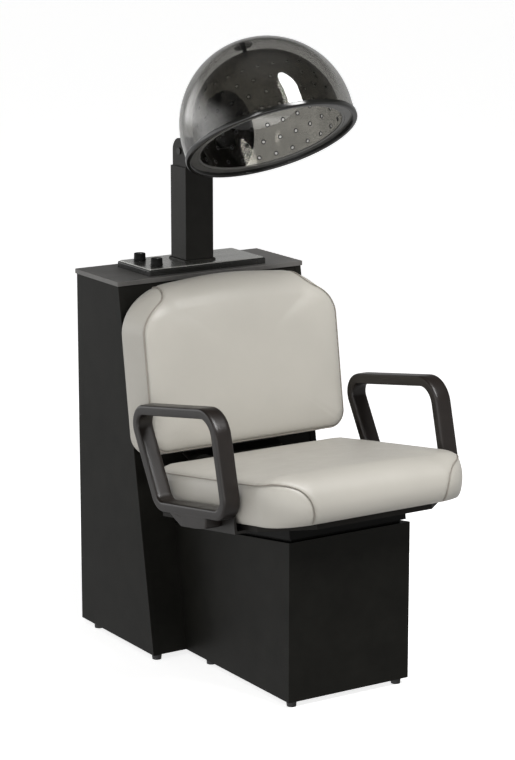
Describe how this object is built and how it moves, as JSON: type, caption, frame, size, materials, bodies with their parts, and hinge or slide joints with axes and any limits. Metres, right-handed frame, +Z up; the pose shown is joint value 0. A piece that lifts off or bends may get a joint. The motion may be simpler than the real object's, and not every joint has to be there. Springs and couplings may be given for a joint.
{
  "type": "hooded dryer chair",
  "caption": "Salon dryer chair: black board cabinet with blower, column and tilting clear smoke hood, upholstered armchair on a box base",
  "frame": {"origin": "on the floor, under the centre of the bounding box", "axes": "+Z up; the sitter faces -Y; +X is to the sitter's left; the cabinet's back is at +Y"},
  "size_m": [0.62, 0.8946, 1.4275],
  "materials": {
    "board": "satin black laminate",
    "lid": "satin charcoal laminate",
    "tray": "gloss black",
    "plate": "bright silver",
    "knob": "matt black",
    "steel": "zinc plated",
    "switch": "matt",
    "foot": "matt black",
    "column": "satin black",
    "plastic": "matt black",
    "duct": "satin black",
    "seal": "matt",
    "smoke": "clear smoke grey",
    "liner": "dark smoke",
    "ring": "satin grey",
    "trim": "gloss black",
    "zinc": "galvanised",
    "motor": "painted",
    "ceramic": "glazed ceramic",
    "frame": "painted black",
    "ply": "plywood",
    "vinyl": "smooth warm grey vinyl",
    "bracket": "grey satin paint",
    "arm": "satin moulded urethane"
  },
  "bodies": {
    "cabinet": {"air_duct": "zinc", "arm_bolts": "steel", "arm_bracket_left": "bracket", "arm_bracket_right": "bracket", "arm_left": "arm", "arm_right": "arm", "back_board": "ply", "back_bolts": "steel", "back_cushion": "vinyl", "base_feet": "foot", "base_floor": "board", "base_front_panel": "board", "base_left_side": "board", "base_right_side": "board", "base_top_board": "board", "blower_motor": "motor", "blower_scroll": "zinc", "cabinet_back_panel": "board", "cabinet_feet": "foot", "cabinet_floor": "board", "cabinet_front_panel": "board", "cabinet_left_side": "board", "cabinet_lid": "lid", "cabinet_right_side": "board", "cabinet_shelf": "board", "column_channel": "column", "column_cover": "column", "column_flange": "column", "console_plate": "plate", "console_tray": "tray", "heat_switch": "switch", "heater_box": "zinc", "heater_element": "ceramic", "neck_guide": "plastic", "power_inlet": "plastic", "seat_board": "ply", "seat_bolts": "steel", "seat_cushion": "vinyl", "seat_frame": "frame", "support_cover": "plastic", "support_plate": "bracket", "thermostat": "plastic", "timer_switch": "switch"},
    "neck": {"neck_tube": "column", "hinge_pin": "plastic"},
    "hood": {"hood_duct": "duct", "duct_gasket": "seal", "dome_outer": "smoke", "dome_liner": "liner", "rim_ring": "ring", "rim_trim": "trim", "centre_cap": "trim"},
    "timer": {"timer_knob": "knob", "timer_shaft": "steel"},
    "heat": {"heat_knob": "knob", "heat_shaft": "steel"},
    "wheel": {"blower_wheel": "zinc", "motor_shaft": "steel"}
  },
  "joints": [
    {"name": "neck_slide", "type": "slide", "parent": "cabinet", "child": "neck", "axis": [0, 0, 1], "range_m": [0, 0.1]},
    {"name": "hood_tilt", "type": "hinge", "parent": "neck", "child": "hood", "pos_m": [0, 0.3345, 1.1375], "axis": [-1, 0, 0], "range_deg": [-31, 35]},
    {"name": "timer_turn", "type": "hinge", "parent": "cabinet", "child": "timer", "pos_m": [-0.117, 0.2993, 0.89], "axis": [0, 0, -1], "range_deg": [0, 300]},
    {"name": "heat_turn", "type": "hinge", "parent": "cabinet", "child": "heat", "pos_m": [-0.117, 0.3773, 0.89], "axis": [0, 0, -1], "range_deg": [0, 270]},
    {"name": "wheel_spin", "type": "hinge", "parent": "cabinet", "child": "wheel", "pos_m": [-0.0745, 0.3345, 0.567], "axis": [0, 1, 0], "continuous": true}
  ]
}
